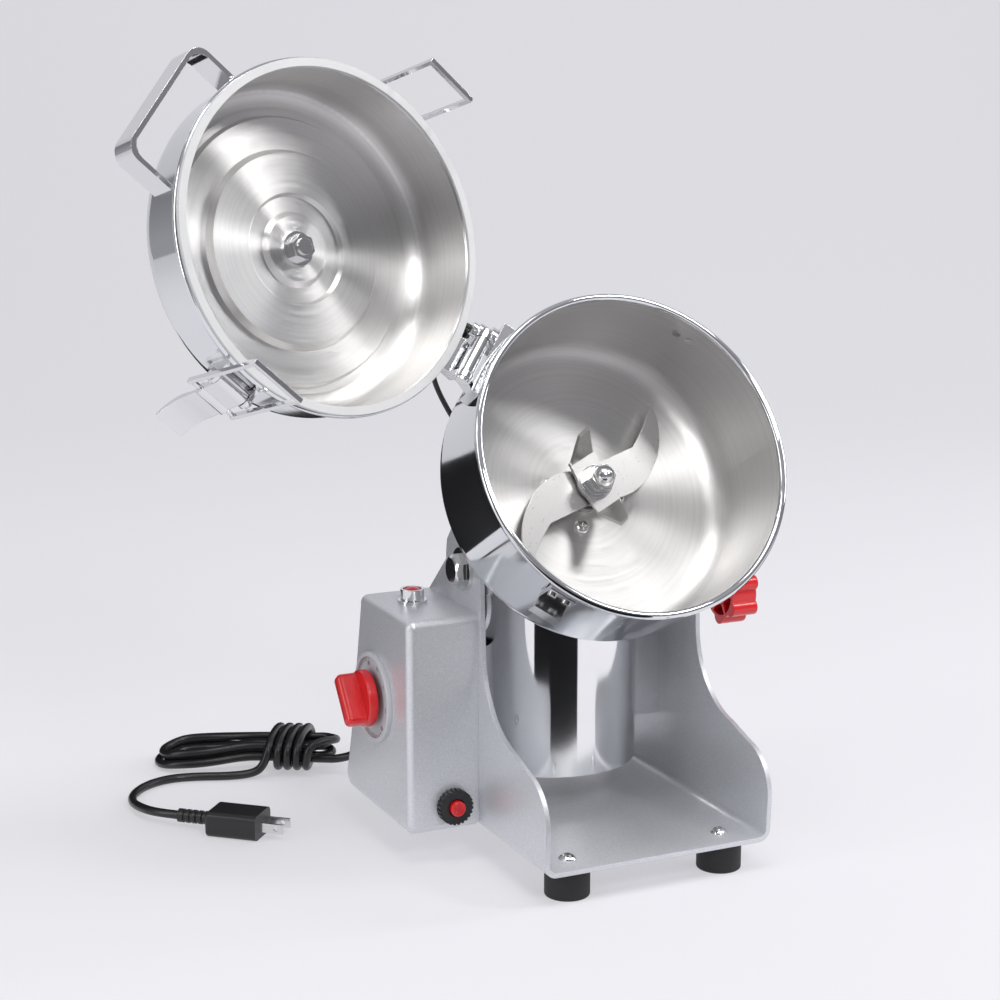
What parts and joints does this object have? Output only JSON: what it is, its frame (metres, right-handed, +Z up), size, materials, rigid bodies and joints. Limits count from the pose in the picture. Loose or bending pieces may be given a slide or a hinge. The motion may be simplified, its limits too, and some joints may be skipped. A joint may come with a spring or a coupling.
{
  "type": "electric grain mill",
  "caption": "Swing grain mill: a steel bowl with sickle blades tips forward on a U bracket over an upright motor, with a hinged latched lid, timer box and mains cord.",
  "frame": {"origin": "centre of the four rubber feet on the table plane", "axes": "+X to the mill's right, +Y to its back, +Z up"},
  "size_m": [0.4231, 0.3932, 0.5105],
  "materials": {
    "silver_paint": "metallic fleck powder coat",
    "rubber": "matte",
    "steel": "satin",
    "bowl_steel": "brushed inside, polished outside",
    "mirror_steel": "mirror polish",
    "chrome": "polished",
    "laminate": "varnished laminations",
    "copper": "enamelled wire",
    "carbon": "matte",
    "red_plastic": "gloss",
    "red_lens": "clear red",
    "black_plastic": "matte",
    "dial_plastic": "printed marks",
    "white_plastic": "plain",
    "cord_black": "smooth"
  },
  "bodies": {
    "frame": {"frame_bracket": "silver_paint", "rubber_feet": "rubber", "foot_screws": "steel", "motor_casing": "mirror_steel", "casing_end_plates": "steel", "panel_screws": "steel", "stator_core": "laminate", "stator_windings": "copper", "brush_holders": "black_plastic", "carbon_brushes": "carbon", "motor_bearings": "steel", "control_box": "silver_paint", "dial_plate": "dial_plastic", "timer_switch": "black_plastic", "lamp_bezel": "chrome", "lamp_lens": "red_lens", "overload_protector": "black_plastic", "terminal_block": "white_plastic", "pivot_bolts": "steel", "pivot_spacers": "white_plastic", "cord_gland": "black_plastic", "power_cord": "cord_black", "cord_hank": "cord_black", "plug_strand": "cord_black", "plug_body": "black_plastic", "plug_blades": "steel"},
    "rotor": {"rotor_core": "laminate", "commutator": "copper", "rotor_shaft": "steel", "cooling_fan": "black_plastic", "drive_dog": "steel"},
    "timer": {"timer_knob": "red_plastic"},
    "lock": {"lock_knob": "red_plastic", "lock_stud": "steel"},
    "reset": {"reset_button": "red_plastic"},
    "bowl": {"bowl_shell": "bowl_steel", "bowl_saddle": "silver_paint", "blade_housing": "steel", "blade_bearings": "steel", "floor_screws": "steel", "catch_hooks": "steel", "hinge_seat": "chrome", "lid_switch": "chrome", "curly_lead": "cord_black"},
    "blades": {"large_blade": "steel", "small_blade": "steel", "blade_shaft": "steel", "blade_hardware": "steel", "driven_dog": "steel"},
    "lid": {"lid_shell": "bowl_steel", "lid_gasket": "rubber", "lid_liner": "steel", "lid_bolt": "steel", "lid_handle": "chrome", "hinge_leaf": "chrome", "latch_bases": "chrome"},
    "lever_left": {"latch_lever_left": "chrome"},
    "hook_left": {"latch_hook_left": "chrome"},
    "lever_right": {"latch_lever_right": "chrome"},
    "hook_right": {"latch_hook_right": "chrome"}
  },
  "joints": [
    {"name": "bowl_tip", "type": "hinge", "parent": "frame", "child": "bowl", "pos_m": [0, 0.01, 0.187], "axis": [1, 0, 0], "range_deg": [-62, 8]},
    {"name": "lid_hinge", "type": "hinge", "parent": "bowl", "child": "lid", "pos_m": [-0.09023, -0.03142, 0.3285], "axis": [-0.6157, -0.3699, -0.6958], "range_deg": [-160, 7]},
    {"name": "blade_spin", "type": "hinge", "parent": "bowl", "child": "blades", "pos_m": [0, -0.00006, 0.23199], "axis": [0, -0.8829, 0.4695], "continuous": true},
    {"name": "rotor_spin", "type": "hinge", "parent": "frame", "child": "rotor", "pos_m": [0, 0.045, 0.1], "axis": [0, 0, 1], "continuous": true},
    {"name": "timer_turn", "type": "hinge", "parent": "frame", "child": "timer", "pos_m": [-0.127, 0.045, 0.099], "axis": [-1, 0, 0], "range_deg": [0, 300]},
    {"name": "lock_turn", "type": "hinge", "parent": "frame", "child": "lock", "pos_m": [0.079, -0.002, 0.155], "axis": [1, 0, 0], "range_deg": [0, 360]},
    {"name": "reset_push", "type": "slide", "parent": "frame", "child": "reset", "axis": [0, 1, 0], "range_m": [0, 0.003], "stiffness_N_per_m": 400, "springref_m": -0.002},
    {"name": "latch_left", "type": "hinge", "parent": "lid", "child": "lever_left", "pos_m": [-0.24971, -0.05033, 0.32229], "axis": [0.7405, 0.0304, -0.6714], "range_deg": [-95, 0]},
    {"name": "hook_left", "type": "hinge", "parent": "lever_left", "child": "hook_left", "pos_m": [-0.25656, -0.03918, 0.31524], "axis": [0.7405, 0.0304, -0.6714], "range_deg": [0, 95]},
    {"name": "latch_right", "type": "hinge", "parent": "lid", "child": "lever_right", "pos_m": [-0.11488, 0.03068, 0.47467], "axis": [-0.7405, -0.0304, 0.6714], "range_deg": [-95, 0]},
    {"name": "hook_right", "type": "hinge", "parent": "lever_right", "child": "hook_right", "pos_m": [-0.11557, 0.04553, 0.47458], "axis": [-0.7405, -0.0304, 0.6714], "range_deg": [0, 95]}
  ],
  "couplings": [
    {"joint": "hook_left", "follows": "latch_left", "ratio": -1},
    {"joint": "hook_right", "follows": "latch_right", "ratio": -1}
  ]
}
